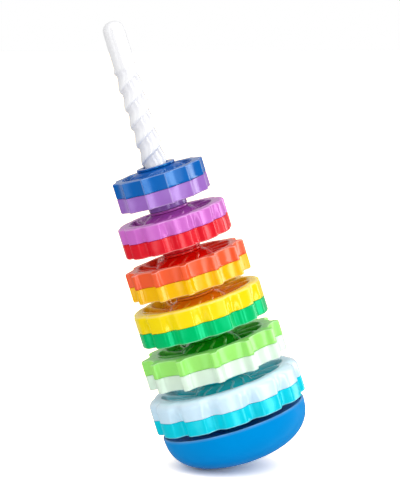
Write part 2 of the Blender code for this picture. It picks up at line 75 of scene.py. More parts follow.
def smooth_step(value: Array | float) -> Array:
    """Rises from 0 to 1 as value does, level at both ends and held past them: 3v^2 - 2v^3."""
    held = np.clip(value, 0.0, 1.0)
    return held * held * (3 - 2 * held)


def bell(value: Array | float, middle: float, width: float) -> Array:
    """1 at the middle, falling to 1/e at width from it."""
    return np.exp(-(((value - middle) / width) ** 2))


def off_middle(angle: Array) -> Array:
    """Angle from the middle of the nearest tooth or valley."""
    return np.abs((angle + TOOTH / 2) % TOOTH - TOOTH / 2)


def around(columns: int) -> Array:
    """Evenly spaced angles round the axis."""
    return np.arange(columns) * 2 * math.pi / columns


@dataclass(frozen=True)
class Station:
    """One ring of a piece's section, at a distance from the axis and a height.

    A ring can follow the toothed outline, moved in by inset, in place of its own radius, with a
    share of the teeth's depth kept, and dips at the teeth. A ring in the sunk face has a rib
    height as well as a floor height, and is turned by the ribs' swirl.
    """

    radius: float
    z: float
    follow: float = 0.0
    inset: float = 0.0
    kept: float = 1.0
    dip: float = 0.0
    rib_z: float | None = None
    swirl: float = 0.0
    along: float = 0.0
    # edge is the strength of a painted highlight at the ring, and the next field the strength of a
    # painted shade.
    edge: float = 0.0
    sunk_shade: float = 0.0


def filleted(corners: Sequence[Corner], steps: int = 5, most: float = 0.45) -> list[Point]:
    """Rounds the corners of a section.

    Each corner is (radius, height, fillet). A fillet is the quadratic curve whose ends lie the
    fillet's length along both sides and whose middle control point is the corner.

    Args:
        corners: the section's corners in order.
        steps: points along each fillet.
        most: the largest share of a side that a fillet may take.

    Returns:
        The rounded section's points.
    """
    points: list[Point] = []
    for i, (r, z, fillet) in enumerate(corners):
        corner = np.array((r, z))
        if fillet <= 0 or i in (0, len(corners) - 1):
            points.append((r, z))
            continue
        ends = []
        for other in (corners[i - 1], corners[i + 1]):
            side = np.array(other[:2]) - corner
            reach = min(fillet, most * float(np.linalg.norm(side)))
            ends.append(corner + side / np.linalg.norm(side) * reach)
        for t in np.linspace(0, 1, steps):
            at = (1 - t) ** 2 * ends[0] + 2 * t * (1 - t) * corner + t**2 * ends[1]
            points.append((float(at[0]), float(at[1])))
    return points


def spread(points: Sequence[Point], longest: float) -> list[Point]:
    """Adds points along a section so that no step is longer than longest."""
    out = [tuple(points[0])]
    for first, second in zip(points, points[1:]):
        count = max(1, math.ceil(math.dist(first, second) / longest))
        for t in np.linspace(0, 1, count + 1)[1:]:
            out.append(tuple(np.array(first) * (1 - t) + np.array(second) * t))
    return out


class GridMesh:
    """A closed surface of quads on a grid: rows along a section, columns round the axis."""

    def __init__(self, name: str, points: Array, capped: bool) -> None:
        """Builds the mesh.

        Args:
            name: the piece's name.
            points: array (rows, columns, 3). Columns close on themselves.
            capped: True closes the first and last rows with a fan each; False joins them.
        """
        self.name = name
        self.rows, self.columns = points.shape[:2]
        self.points = points
        self.capped = capped
        self.mesh = bpy.data.meshes.new(name)
        self._fill()

    def _faces(self) -> Array:
        """Corner numbers of every quad between a row and the next."""
        rows = self.rows - 1 if self.capped else self.rows
        i, j = np.meshgrid(np.arange(rows), np.arange(self.columns), indexing="ij")
        low, high = i * self.columns, (i + 1) % self.rows * self.columns
        after = (j + 1) % self.columns
        return np.stack([low + j, low + after, high + after, high + j], -1).reshape(-1, 4)

    def _caps(self, flat: Array) -> tuple[Array, Array]:
        """Centre points of the two end rows, and the triangles that join them to the rows."""
        first, last = flat[: self.columns], flat[-self.columns :]
        centres = np.stack([first.mean(0), last.mean(0)])
        j = np.arange(self.columns)
        after = (j + 1) % self.columns
        top = (self.rows - 1) * self.columns
        base = np.full(self.columns, len(flat))
        return centres, np.concatenate(
            [np.stack([base, after, j], -1), np.stack([base + 1, top + j, top + after], -1)]
        )

    def _fill(self) -> None:
        """Writes vertices, quads and caps into the mesh, with the faces pointing out."""
        flat = self.points.reshape(-1, 3)
        quads = self._faces()
        triangles = np.empty((0, 3), int)
        if self.capped:
            centres, triangles = self._caps(flat)
            flat = np.concatenate([flat, centres])
        halves = [quads[:, [0, 1, 2]], quads[:, [0, 2, 3]], triangles]
        volume = sum(np.linalg.det(flat[half]).sum() for half in halves if len(half))
        if volume < 0:
            quads, triangles = quads[:, ::-1], triangles[:, ::-1]
        loops = np.concatenate([quads.ravel(), triangles.ravel()]).astype(np.int32)
        sizes = np.concatenate([np.full(len(quads), 4), np.full(len(triangles), 3)])
        starts = np.concatenate([[0], np.cumsum(sizes)[:-1]]).astype(np.int32)
        mesh = self.mesh
        mesh.vertices.add(len(flat))
        mesh.vertices.foreach_set("co", flat.astype(np.float32).ravel())
        mesh.loops.add(len(loops))
        mesh.loops.foreach_set("vertex_index", loops)
        mesh.polygons.add(len(sizes))
        mesh.polygons.foreach_set("loop_start", starts)
        mesh.update(calc_edges=True)
        mesh.validate()
        mesh.shade_smooth()
        self.count = len(flat)

    def paint(self, attribute: str, values: Array) -> None:
        """Stores one number per vertex, as the materials read it.

        Args:
            attribute: its name.
            values: array (rows, columns). The caps' centres get 0.
        """
        layer = self.mesh.attributes.new(attribute, "FLOAT", "POINT")
        flat = np.zeros(self.count, np.float32)
        flat[: values.size] = values.ravel()
        layer.data.foreach_set("value", flat)


@dataclass(frozen=True)
class ToothShape:
    """A tooth, or a valley on a lobed rim: where its flat and its flank end, from its middle.

    The flank takes flank_share of the depth, and a hollow panel takes the rest.
    """

    flat_deg: float
    foot_deg: float
    flank_share: float


class ToothForm(Enum):
    """How a disc's rim is toothed.

    Scalloped has hollow panels that meet in sharp ridges, ridged has narrow flat-topped teeth
    with wide hollow panels between them, and lobed has wide lobes with narrow valleys.
    """

    SCALLOPED = ToothShape(0.0, 1.6, 0.14)
    RIDGED = ToothShape(1.8, 4.6, 0.66)
    LOBED = ToothShape(0.7, 8.4, 1.0)


@dataclass(frozen=True)
class TopEdge:
    """The rounding from a rim's wall to its top, by height and width.

    Of the teeth's depth, kept is the share left on top. The teeth's tops lie lower by dip.
    """

    height: float
    width: float
    kept: float
    dip: float = 0.0


@dataclass(frozen=True)
class Rim:
    """A disc's toothed outline and its top edge."""

    form: ToothForm
    tip_radius: float
    depth: float
    top_z: float
    top_edge: TopEdge
    lobe_crown: float = 0.18
    top_power: float = 1.5
    ridge_width: float = math.radians(0.5)
    ridge_highlight: float = 0.3

    @property
    def root_radius(self) -> float:
        """Distance of the valleys from the axis."""
        return self.tip_radius - self.depth

    @property
    def angles(self) -> Point:
        """Half of the flat's angle, and the angle from a middle to its flank's foot."""
        return math.radians(self.form.value.flat_deg), math.radians(self.form.value.foot_deg)

    def hollow(self, off: Array) -> Array:
        """Share of the depth cut away at an angle from a tooth's middle.

        The flank is a cubic from 0 and level at the flat's end to flank_share at its foot. There
        it has the slope of the panel, a parabola that reaches 1 and is level half way to the
        next tooth.
        """
        (flat, foot), half, share = self.angles, TOOTH / 2, self.form.value.flank_share
        panel = 1 - (1 - share) * ((half - off) / (half - foot)) ** 2
        slope = 2 * (1 - share) / (half - foot) * (foot - flat)
        t = np.clip((off - flat) / (foot - flat), 0, 1)
        flank = share * (3 * t**2 - 2 * t**3) + slope * (t**3 - t**2)
        return np.where(off < foot, np.maximum(flank, 0), panel)

    def lobes(self, off: Array) -> Array:
        """Share of the depth cut away at an angle from a valley: the valley and a slight crown."""
        flat, foot = self.angles
        valley = smooth_step((foot - off) / (foot - flat))
        return (1 - self.lobe_crown) * valley + self.lobe_crown * (1 - off / (TOOTH / 2)) ** 2

    def cut(self, angle: Array) -> Array:
        """Share of the depth cut away: 0 at the teeth's tops and 1 at the deepest place."""
        off = off_middle(angle)
        return self.lobes(off) if self.form is ToothForm.LOBED else self.hollow(off)

    def tooth_top(self, angle: Array) -> Array:
        """1 on a tooth's top and 0 in the deepest place, steeper than the outline itself."""
        return (1 - self.cut(angle)) ** self.top_power

    def ridge(self, angle: Array) -> Array:
        """Painted highlight on the sharp ridges of a scalloped rim."""
        sharp = self.form is ToothForm.SCALLOPED
        return sharp * bell(off_middle(angle), 0.0, self.ridge_width) * self.ridge_highlight


class NodeTools:
    """Short calls for building a node tree."""

    def __init__(self, tree: bpy.types.NodeTree) -> None:
        """Works on one tree."""
        self.tree = tree

    def add(self, kind: str, **values: object) -> bpy.types.Node:
        """Adds a node and sets its properties and its unlinked inputs by name."""
        node = self.tree.nodes.new(kind)
        for key, value in values.items():
            if hasattr(node, key):
                setattr(node, key, value)
            else:
                node.inputs[key.replace("_", " ").title()].default_value = value
        return node

    def feed(self, value: object, target: Socket) -> None:
        """Links a socket to the target, or sets the target's own value."""
        if isinstance(value, Socket):
            self.tree.links.new(value, target)
        else:
            target.default_value = (*value, 1.0) if isinstance(value, tuple) else value

    def maths(self, operation: str, first: object, second: object = 0.0) -> Socket:
        """Works out one operation on sockets or numbers."""
        node = self.add("ShaderNodeMath", operation=operation)
        self.feed(first, node.inputs[0])
        self.feed(second, node.inputs[1])
        return node.outputs[0]

    def mix(self, amount: Socket, first: object, second: object) -> Socket:
        """Mixes from a number or socket towards a second one."""
        node = self.add("ShaderNodeMix")
        for name, value in (("Factor", amount), ("A", first), ("B", second)):
            self.feed(value, node.inputs[name])
        return node.outputs["Result"]

    def blend(self, amount: Socket, first: object, second: object) -> Socket:
        """Mixes from a colour or socket towards a second one."""
        node = self.add("ShaderNodeMix", data_type="RGBA")
        self.feed(amount, node.inputs["Factor"])
        # The colours are the node's sockets 6 and 7, and its output 2.
        self.feed(first, node.inputs[6])
        self.feed(second, node.inputs[7])
        return node.outputs[2]

    def mapped(self, source: Socket, limits: Sequence[float], kind: str = "LINEAR") -> Socket:
        """Maps one range to another: (from low, from high, to low, to high)."""
        node = self.add("ShaderNodeMapRange", interpolation_type=kind)
        for name, value in zip(("From Min", "From Max", "To Min", "To Max"), limits):
            node.inputs[name].default_value = value
        self.feed(source, node.inputs["Value"])
        return node.outputs["Result"]


class MaterialNodes(NodeTools):
    """Short calls for building one material's nodes."""

    def __init__(self, name: str) -> None:
        """Starts a material with one Principled shader."""
        self.material = bpy.data.materials.new(name)
        self.material.use_nodes = True
        super().__init__(self.material.node_tree)
        self.shader = self.tree.nodes["Principled BSDF"]
        self.output = self.tree.nodes["Material Output"]

    def attribute(self, name: str) -> Socket:
        """The number that the mesh stores for each vertex under this name."""
        return self.add("ShaderNodeAttribute", attribute_name=name).outputs["Fac"]

    def noise(self, scale: float, low: float, high: float, detail: float = 2.0) -> Socket:
        """Noise on Object coordinates, with 0.3 to 0.7, where it mostly lies, as low to high."""
        noise = self.add("ShaderNodeTexNoise", scale=scale, detail=detail)
        self.feed(self.add("ShaderNodeTexCoord").outputs["Object"], noise.inputs["Vector"])
        return self.mapped(noise.outputs["Fac"], (0.3, 0.7, low, high))

    def bump(self, scale: float, strength: float, depth: float) -> None:
        """Raises the surface by fine noise, in metres at full strength."""
        noise = self.add("ShaderNodeTexNoise", scale=scale)
        self.feed(self.add("ShaderNodeTexCoord").outputs["Object"], noise.inputs["Vector"])
        bump = self.add("ShaderNodeBump", strength=strength, distance=depth)
        self.feed(noise.outputs["Fac"], bump.inputs["Height"])
        self.feed(bump.outputs["Normal"], self.shader.inputs["Normal"])


@dataclass(frozen=True)
class MouldedPlastic:
    """Coloured ABS from a polished mould, with painted highlights that pale its edges and a painted
    shade that darkens its sunk part.

    Painted edge highlights in the sunk part take a colour of their own instead. For each channel,
    tint is how far a highlight takes on the plastic's own hue.
    """

    name: str
    colour: Colour
    sunk_shade_colour: Colour | None = None
    sunk_highlight: Colour | None = None
    gloss: Point = (0.15, 0.23)
    gloss_scale: float = 60.0
    highlight_lift: float = 0.55
    mottle: float = 0.06
    mottle_scale: float = 22.0
    texture_scale: float = 1400.0
    texture_strength: float = 0.06
    texture_depth: float = 0.0002
    specular: float = 0.8
    tint: Colour = (0.92, 0.45, 0.45)

    def brighter(self, share: float) -> Colour:
        """The colour scaled up by share, so that a pure colour stays pure."""
        return tuple(min(1.0, c * (1 + share)) for c in self.colour)

    def lighter(self, share: float) -> Colour:
        """The colour moved towards white by share."""
        return tuple(c + (1 - c) * share for c in self.colour)

    def darker(self, share: float) -> Colour:
        """The colour moved towards black by share."""
        return tuple(c * (1 - share) for c in self.colour)

    def material(self) -> bpy.types.Material:
        """Builds a Principled material whose colour and roughness drift across the piece.

        It pales by the edge attribute, a painted highlight, and turns to a darker sunk colour by a
        second attribute, a painted shade.
        """
        nodes = MaterialNodes(self.name)
        drift = nodes.noise(self.mottle_scale, 0.0, 1.0)
        colour = nodes.blend(drift, self.brighter(self.mottle / 2), self.darker(self.mottle / 2))
        # Painted highlight colour: the plastic moved towards white.
        highlight_colour: object = self.lighter(self.highlight_lift)
        # Painted shade: the sunk part turns to a darker colour, and its edge highlights to a colour
        # of their own.
        if self.sunk_shade_colour is not None:
            sunk_shade = nodes.attribute("sunk_shade")
            colour = nodes.blend(sunk_shade, colour, self.sunk_shade_colour)
            if self.sunk_highlight is not None:
                highlight_colour = nodes.blend(sunk_shade, highlight_colour, self.sunk_highlight)
        # Painted highlight along edges, by the edge attribute.
        colour = nodes.blend(nodes.attribute("edge"), colour, highlight_colour)
        inputs = nodes.shader.inputs
        nodes.feed(colour, inputs["Base Color"])
        nodes.feed(nodes.noise(self.gloss_scale, *self.gloss, 4.0), inputs["Roughness"])
        nodes.bump(self.texture_scale, self.texture_strength, self.texture_depth)
        top = max(self.colour)
        shine = tuple(1 - t * (1 - c / top) for t, c in zip(self.tint, self.colour))
        inputs["Specular IOR Level"].default_value = self.specular
        inputs["Specular Tint"].default_value = (*shine, 1.0)
        return nodes.material


@dataclass(frozen=True)
class Metal:
    """Plain or plated metal of a hidden piece."""

    name: str
    colour: Colour
    rough: Point
    grain_scale: float
    grain: float
    grain_depth: float = 0.0005
    darkest: float = 0.8

    def material(self) -> bpy.types.Material:
        """Builds the material, with a drifting roughness and a grainy surface."""
        nodes = MaterialNodes(self.name)
        inputs = nodes.shader.inputs
        drift = nodes.noise(self.grain_scale / 8, 0.0, 1.0)
        darker = tuple(c * self.darkest for c in self.colour)
        nodes.feed(nodes.blend(drift, self.colour, darker), inputs["Base Color"])
        nodes.feed(nodes.noise(self.grain_scale / 4, *self.rough), inputs["Roughness"])
        nodes.bump(self.grain_scale, self.grain, self.grain_depth)
        inputs["Metallic"].default_value = 1.0
        return nodes.material


class Dressing:
    """Puts finished pieces into the scene and ties them to the frame."""

    def __init__(self) -> None:
        """Makes the collection that the new pieces go in."""
        self.collection = bpy.data.collections.new("dressed_toy")
        bpy.context.scene.collection.children.link(self.collection)

    def place(
        self, grid: GridMesh, finish: MouldedPlastic, node: str, body: str, slot: str
    ) -> None:
        """Adds a piece that stands for one solid.

        Args:
            grid: the piece's surface.
            finish: what it is made of.
            node: the solid that it replaces.
            body: the moving body that carries it.
            slot: the record's material slot. Not used.
        """
        grid.mesh.materials.append(finish.material())
        piece = bpy.data.objects.new(grid.name, grid.mesh)
        self.collection.objects.link(piece)
        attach(piece, body)
        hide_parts(node)
        LOG.info("%s: %d points, stands for %s", grid.name, grid.count, node)

    def repaint(self, node: str, finish: Metal | MouldedPlastic) -> None:
        """Gives a solid that stays as it is a better material."""
        obj = bpy.data.objects[node]
        obj.data.materials.clear()
        obj.data.materials.append(finish.material())
        LOG.info("%s: kept, finished as %s", node, finish.name)


# Where a rib's painted highlight line lies on the rib function, and how wide it is.
RIB_LINE = (0.85, 0.12)
RIB_LINE_HIGHLIGHT = 0.3
# How much of the painted shade a rib's top loses, a painted highlight, at the land and at the hub.
RIB_TOP_HIGHLIGHT = (0.95, 0.40)


def swept(
    name: str, stations: Sequence[Station], rim: Rim | None, ribs: RibFunction | None,
    columns: int, turn: float = 0.0, lift: float = 0.0,
) -> GridMesh:
    """Carries a section of stations round the axis.

    A ring's distance from the axis is its own radius, or the rim's tip radius less its inset and
    less the kept part of the teeth's cut. The two are mixed by follow. Its height is the floor's,
    or the rib's where the rib function says 1, less its dip at a tooth's top. Its points are
    turned by its swirl.

    Args:
        name: the piece's name.
        stations: the closed section's rings in order.
        rim: the toothed outline, for rings that follow it.
        ribs: function of (angle, along, radius) that gives 1 on a rib and 0 in a pocket.
        columns: points round the axis.
        turn: the whole piece's angle about the axis.
        lift: the height of the section's zero.

    Returns:
        The closed surface, with two attributes painted: edge, a painted highlight, and the painted
        shade of its sunk parts.
    """

    def column(measure: str) -> Array:
        return np.array([getattr(station, measure) for station in stations])[:, None]

    angle = around(columns)
    follow, along, floor = column("follow"), column("along"), column("z")
    top = np.array([s.z if s.rib_z is None else s.rib_z for s in stations])[:, None]
    tip = rim.tip_radius if rim else 0.0
    cut = rim.depth * rim.cut(angle) if rim else np.zeros(columns)
    toothed = tip - column("inset") - column("kept") * cut[None, :]
    r = follow * toothed + (1 - follow) * column("radius")
    share = ribs(angle[None, :], along, r) if ribs else 0.0
    dip = column("dip") * (rim.tooth_top(angle)[None, :] if rim else 0.0)
    z = floor + (top - floor) * share - dip + lift
    theta = angle[None, :] + column("swirl") + turn
    grid = GridMesh(
        name, np.stack([r * np.cos(theta), r * np.sin(theta), z + 0 * r], -1), capped=False
    )
    edge, sunk_shade = column("edge") + 0 * r, column("sunk_shade") + 0 * r
    # Painted highlight along the sharp ridges of a scalloped rim.
    if rim:
        edge = np.maximum(edge, rim.ridge(angle)[None, :] * (follow == 1))
    # Painted highlight: a pale line along each rib, and rib tops that lose part of the painted
    # shade.
    if ribs:
        on_rib = share * (top > floor)
        edge = np.maximum(edge, RIB_LINE_HIGHLIGHT * bell(share, *RIB_LINE) * (top > floor))
        at_land, at_hub = RIB_TOP_HIGHLIGHT
        sunk_shade = sunk_shade * (1 - (at_land + (at_hub - at_land) * along) * on_rib)
    grid.paint("edge", edge)
    grid.paint("sunk_shade", sunk_shade)
    return grid


@dataclass(frozen=True)
class DiscSizes:
    """Sizes that all six discs share, measured from the seam between the half shells.

    Places along a rib are shares of the way from the land to the hub's flare. Each painted
    highlight on an edge is a strength and a width.
    """

    seam_gap: float = 0.00015
    seam_chamfer: float = 0.0003
    wall: float = 0.0022
    plate: float = 0.002
    wall_fade: float = 0.6
    lower_height: float = 0.0136
    lower_fillet: float = 0.0016
    fillet_lead: float = 0.003
    skirt_width: float = 0.004
    neck_drop: float = 0.020
    neck_lip: float = 0.0015
    hub_top: float = 0.0165
    hub_radius: float = 0.0171
    hub_bore: float = 0.0145
    flare_width: float = 0.0091
    flare_bend: Point = (0.70, 0.42)
    flare_fillet: float = 0.0035
    bush_top: float = 0.0188
    bush_bore: float = 0.0116
    sleeve_gap: float = 0.0008
    seat_gap: float = 0.0003
    dish_floor: float = 0.009
    dish_overlap: float = 0.0004
    rib_half: float = 0.0009
    rib_side: float = 0.0009
    rib_drop: float = 0.0005
    rib_drop_end: float = 0.12
    rib_power: float = 1.3
    rib_hub_rise: float = 0.0018
    floor_rise_from: float = 0.86
    pocket_end: float = 0.30
    swirl: float = math.radians(28)
    cone_rib: float = 0.0009
    cone_rib_end: float = 0.55
    cone_swirl: float = math.radians(14)
    sunk_shade_from: float = 0.25
    highlight_angle: float = 0.8
    upper_highlight: Point = (0.36, 0.30)
    lower_highlight: Point = (0.5, 0.35)
    land_highlight: float = 0.25
    bush_highlight: Point = (0.3, 0.0004)
    hidden_step: float = 0.006
    neck_step: float = 0.008
    columns: int = 720
    bush_columns: int = 160


@dataclass(frozen=True)
class Disc:
    """One toothed disc: two half shells in two colours, and the bush in its hub."""

    number: int
    seam_z: float
    turn: float
    rim: Rim
    land: float
    upper: MouldedPlastic
    lower: MouldedPlastic
    bush: MouldedPlastic
    sizes: DiscSizes = DiscSizes()

    def rib_share(self, angle: Array, along: Array, radius: Array) -> Array:
        """1 on a rib and 0 in a pocket.

        Across a rib the function is level for rib_half and eases away over rib_side. Close to
        the land, the ribs widen along a quarter circle until they meet, which gives each pocket
        its round outer end.

        Args:
            angle: angle about the axis, before the swirl.
            along: 0 at the land and 1 at the hub's flare.
            radius: distance from the axis.

        Returns:
            The share, for each point of the grid.
        """
        s = self.sizes
        off = off_middle(angle) * radius
        half_pitch = TOOTH / 2 * radius
        near_rim = np.clip(1 - along / s.pocket_end, 0.0, 1.0)
        widen = 1 - np.sqrt(np.clip(1 - near_rim**2, 0.0, 1.0))
        half = s.rib_half + (half_pitch - s.rib_half) * widen
        return smooth_step(1 - (off - half) / s.rib_side)

    def painted_highlight_at(self, angle: float, painted_highlight: Point) -> float:
        """Painted highlight at an angle round a rounded edge, from the highlight's height and
        width.
        """
        return painted_highlight[0] * float(bell(angle, self.sizes.highlight_angle, painted_highlight[1]))

    def upper_stations(self) -> list[Station]:
        """Rings of the upper half shell: up the wall, over the rim, across the dish, inside."""
        s, top, top_z = self.sizes, self.rim.top_edge, self.rim.top_z
        start = top_z - top.height
        stations = [
            Station(0, s.seam_gap, follow=1, inset=s.seam_chamfer),
            Station(0, s.seam_gap + s.seam_chamfer, follow=1),
        ]
        wall_kept = 1 - s.wall_fade * (1 - top.kept)
        for t in np.linspace(0, 1, 7)[1:-1]:
            kept = 1 - (1 - wall_kept) * float(smooth_step(t))
            stations.append(Station(0, s.seam_gap + t * (start - s.seam_gap), follow=1, kept=kept))
        for angle in np.linspace(0, math.pi / 2, 13):
            inward = 1 - math.cos(angle)
            z = start + top.height * math.sin(angle)
            kept = wall_kept + (top.kept - wall_kept) * inward
            # Painted highlight round the rim's rounded top edge.
            painted_highlight = self.painted_highlight_at(angle, s.upper_highlight)
            stations.append(Station(0, z, 1, top.width * inward, kept, top.dip, edge=painted_highlight))
        dish_rim = self.rim.root_radius - self.land
        for t in np.linspace(0, 1, 7)[1:]:
            # Painted highlight on the land's inner edge.
            painted_highlight, dip = s.land_highlight * (t == 1), top.dip * (1 - t)
            stations.append(Station(dish_rim, top_z, 1 - t, top.width, top.kept, dip, edge=painted_highlight))
        return stations + self.dish_stations(dish_rim) + self.inside_upper()

    def dish_stations(self, dish_rim: float) -> list[Station]:
        """Rings of the sunk face, from the land's inner edge to the hub's top."""
        s = self.sizes
        land_z = self.rim.top_z
        outer, flare = dish_rim - s.dish_overlap, s.hub_radius + s.flare_width
        rib_low = s.dish_floor + s.rib_hub_rise
        cone_low = rib_low - s.cone_rib
        stations = []
        for t in np.linspace(0.0, 1.0, 34):
            drop = float(smooth_step(t / s.rib_drop_end))
            rise = float(smooth_step((t - s.floor_rise_from) / (1 - s.floor_rise_from)))
            floor = s.dish_floor + (cone_low - s.dish_floor) * rise
            rib_z = land_z - s.rib_drop * drop + (rib_low - land_z + s.rib_drop) * t**s.rib_power
            # Painted shade deepens from the land into the sunk face.
            radius, sunk_shade = outer + (flare - outer) * t, float(smooth_step(t / s.sunk_shade_from))
            stations.append(
                Station(radius, floor, rib_z=rib_z, swirl=s.swirl * t, along=t, sunk_shade=sunk_shade)
            )
        bend_out, bend_up = s.flare_bend
        bend = (s.hub_radius + bend_out * s.flare_width, rib_low + bend_up * (s.hub_top - rib_low))
        curve = filleted(
            [(flare, cone_low, 0), (*bend, s.flare_fillet), (s.hub_radius, s.hub_top, 0)], 11
        )
        for i, (radius, z) in enumerate(curve[1:], 1):
            up = i / (len(curve) - 1)
            fade = float(smooth_step((up - s.cone_rib_end) / (1 - s.cone_rib_end)))
            rib_z = z + s.cone_rib * (1 - fade)
            swirl = s.swirl + s.cone_swirl * up
            stations.append(Station(radius, z, rib_z=rib_z, swirl=swirl, along=1.0, sunk_shade=1.0))
        return stations

    def inside_upper(self) -> list[Station]:
        """Rings of the upper shell's bore and of its hidden inner wall."""
        s = self.sizes
        inner = self.rim.root_radius - s.wall
        under = s.dish_floor - s.plate
        turned = s.swirl + s.cone_swirl
        path = [(s.hub_bore, s.hub_top), (s.hub_bore, under), (inner, under)]
        # The hidden inside carries the full painted shade.
        stations = [Station(r, z, swirl=turned, sunk_shade=1.0) for r, z in spread(path, s.hidden_step)]
        for t in np.linspace(0, 1, 8)[1:]:
            z = under + (s.seam_gap - under) * t
            stations.append(Station(inner, z, swirl=turned * (1 - t), sunk_shade=1.0))
        return stations

    def lower_stations(self) -> list[Station]:
        """Rings of the lower half shell: wall, rounded edge, plate, neck and inside."""
        s = self.sizes
        low, fillet = -s.lower_height, s.lower_fillet
        stations = [
            Station(0, -s.seam_gap, follow=1, inset=s.seam_chamfer),
            Station(0, -s.seam_gap - s.seam_chamfer, follow=1),
            Station(0, low + fillet + s.fillet_lead, follow=1),
        ]
        for angle in np.linspace(0, math.pi / 2, 7):
            z, inset = low + fillet - fillet * math.sin(angle), fillet * (1 - math.cos(angle))
            # Painted highlight round the rounded lower edge.
            stations.append(Station(0, z, 1, inset, edge=self.painted_highlight_at(angle, s.lower_highlight)))
        skirt = s.hub_radius + s.skirt_width
        for t in np.linspace(0, 1, 5)[1:]:
            stations.append(Station(skirt, low, follow=1 - t, inset=fillet))
        inner = self.rim.root_radius - s.wall
        lip = -s.neck_drop + s.neck_lip
        neck = [
            (skirt, low, 0), (s.hub_radius, low, 0.002), (s.hub_radius, -s.neck_drop, 0.0006),
            (s.bush_bore, -s.neck_drop, 0.0004), (s.bush_bore, lip, 0), (s.hub_bore, lip, 0),
            (s.hub_bore, low + s.plate, 0), (inner, low + s.plate, 0), (inner, -s.seam_gap, 0),
        ]
        return stations + [Station(r, z) for r, z in spread(filleted(neck)[1:], s.neck_step)]

    def bush_section(self) -> list[Station]:
        """Rings of the plain ring in the hub, with its rounded lip."""
        s = self.sizes
        outer = s.hub_bore - s.sleeve_gap
        lip = s.hub_top + s.seat_gap
        low = s.dish_floor - s.plate + s.seat_gap
        corners = [
            (s.bush_bore, low, 0), (s.bush_bore, s.bush_top, 0.0006),
            (s.hub_radius, s.bush_top, 0.0008), (s.hub_radius, lip, 0.0003),
            (outer, lip, 0), (outer, low, 0),
        ]
        # Painted highlight on the top of the lip.
        painted_highlight, reach = s.bush_highlight
        return [Station(r, z, edge=painted_highlight * (z > s.bush_top - reach)) for r, z in filleted(corners)]

    def make(self, dressing: Dressing) -> None:
        """Builds the disc's three visible pieces and finishes the follower inside."""
        n, body, s = self.number, f"gear_{self.number}", self.sizes
        upper = swept(
            f"disc_{n}_upper_shell", self.upper_stations(), self.rim, self.rib_share,
            s.columns, self.turn, self.seam_z,
        )
        dressing.place(upper, self.upper, f"gear_{n}_top_shell", body, f"gear_{n}_upper")
        lower = swept(
            f"disc_{n}_lower_shell", self.lower_stations(), self.rim, None,
            s.columns // 2, self.turn, self.seam_z,
        )
        dressing.place(lower, self.lower, f"gear_{n}_bottom_shell", body, f"gear_{n}_lower")
        bush = swept(
            f"disc_{n}_bush", self.bush_section(), None, None, s.bush_columns, lift=self.seam_z
        )
        dressing.place(bush, self.bush, f"gear_{n}_hub_bush", f"gear_{n}_bush", f"gear_{n}_upper")
        dressing.repaint(f"gear_{n}_thread_follower", ACETAL)


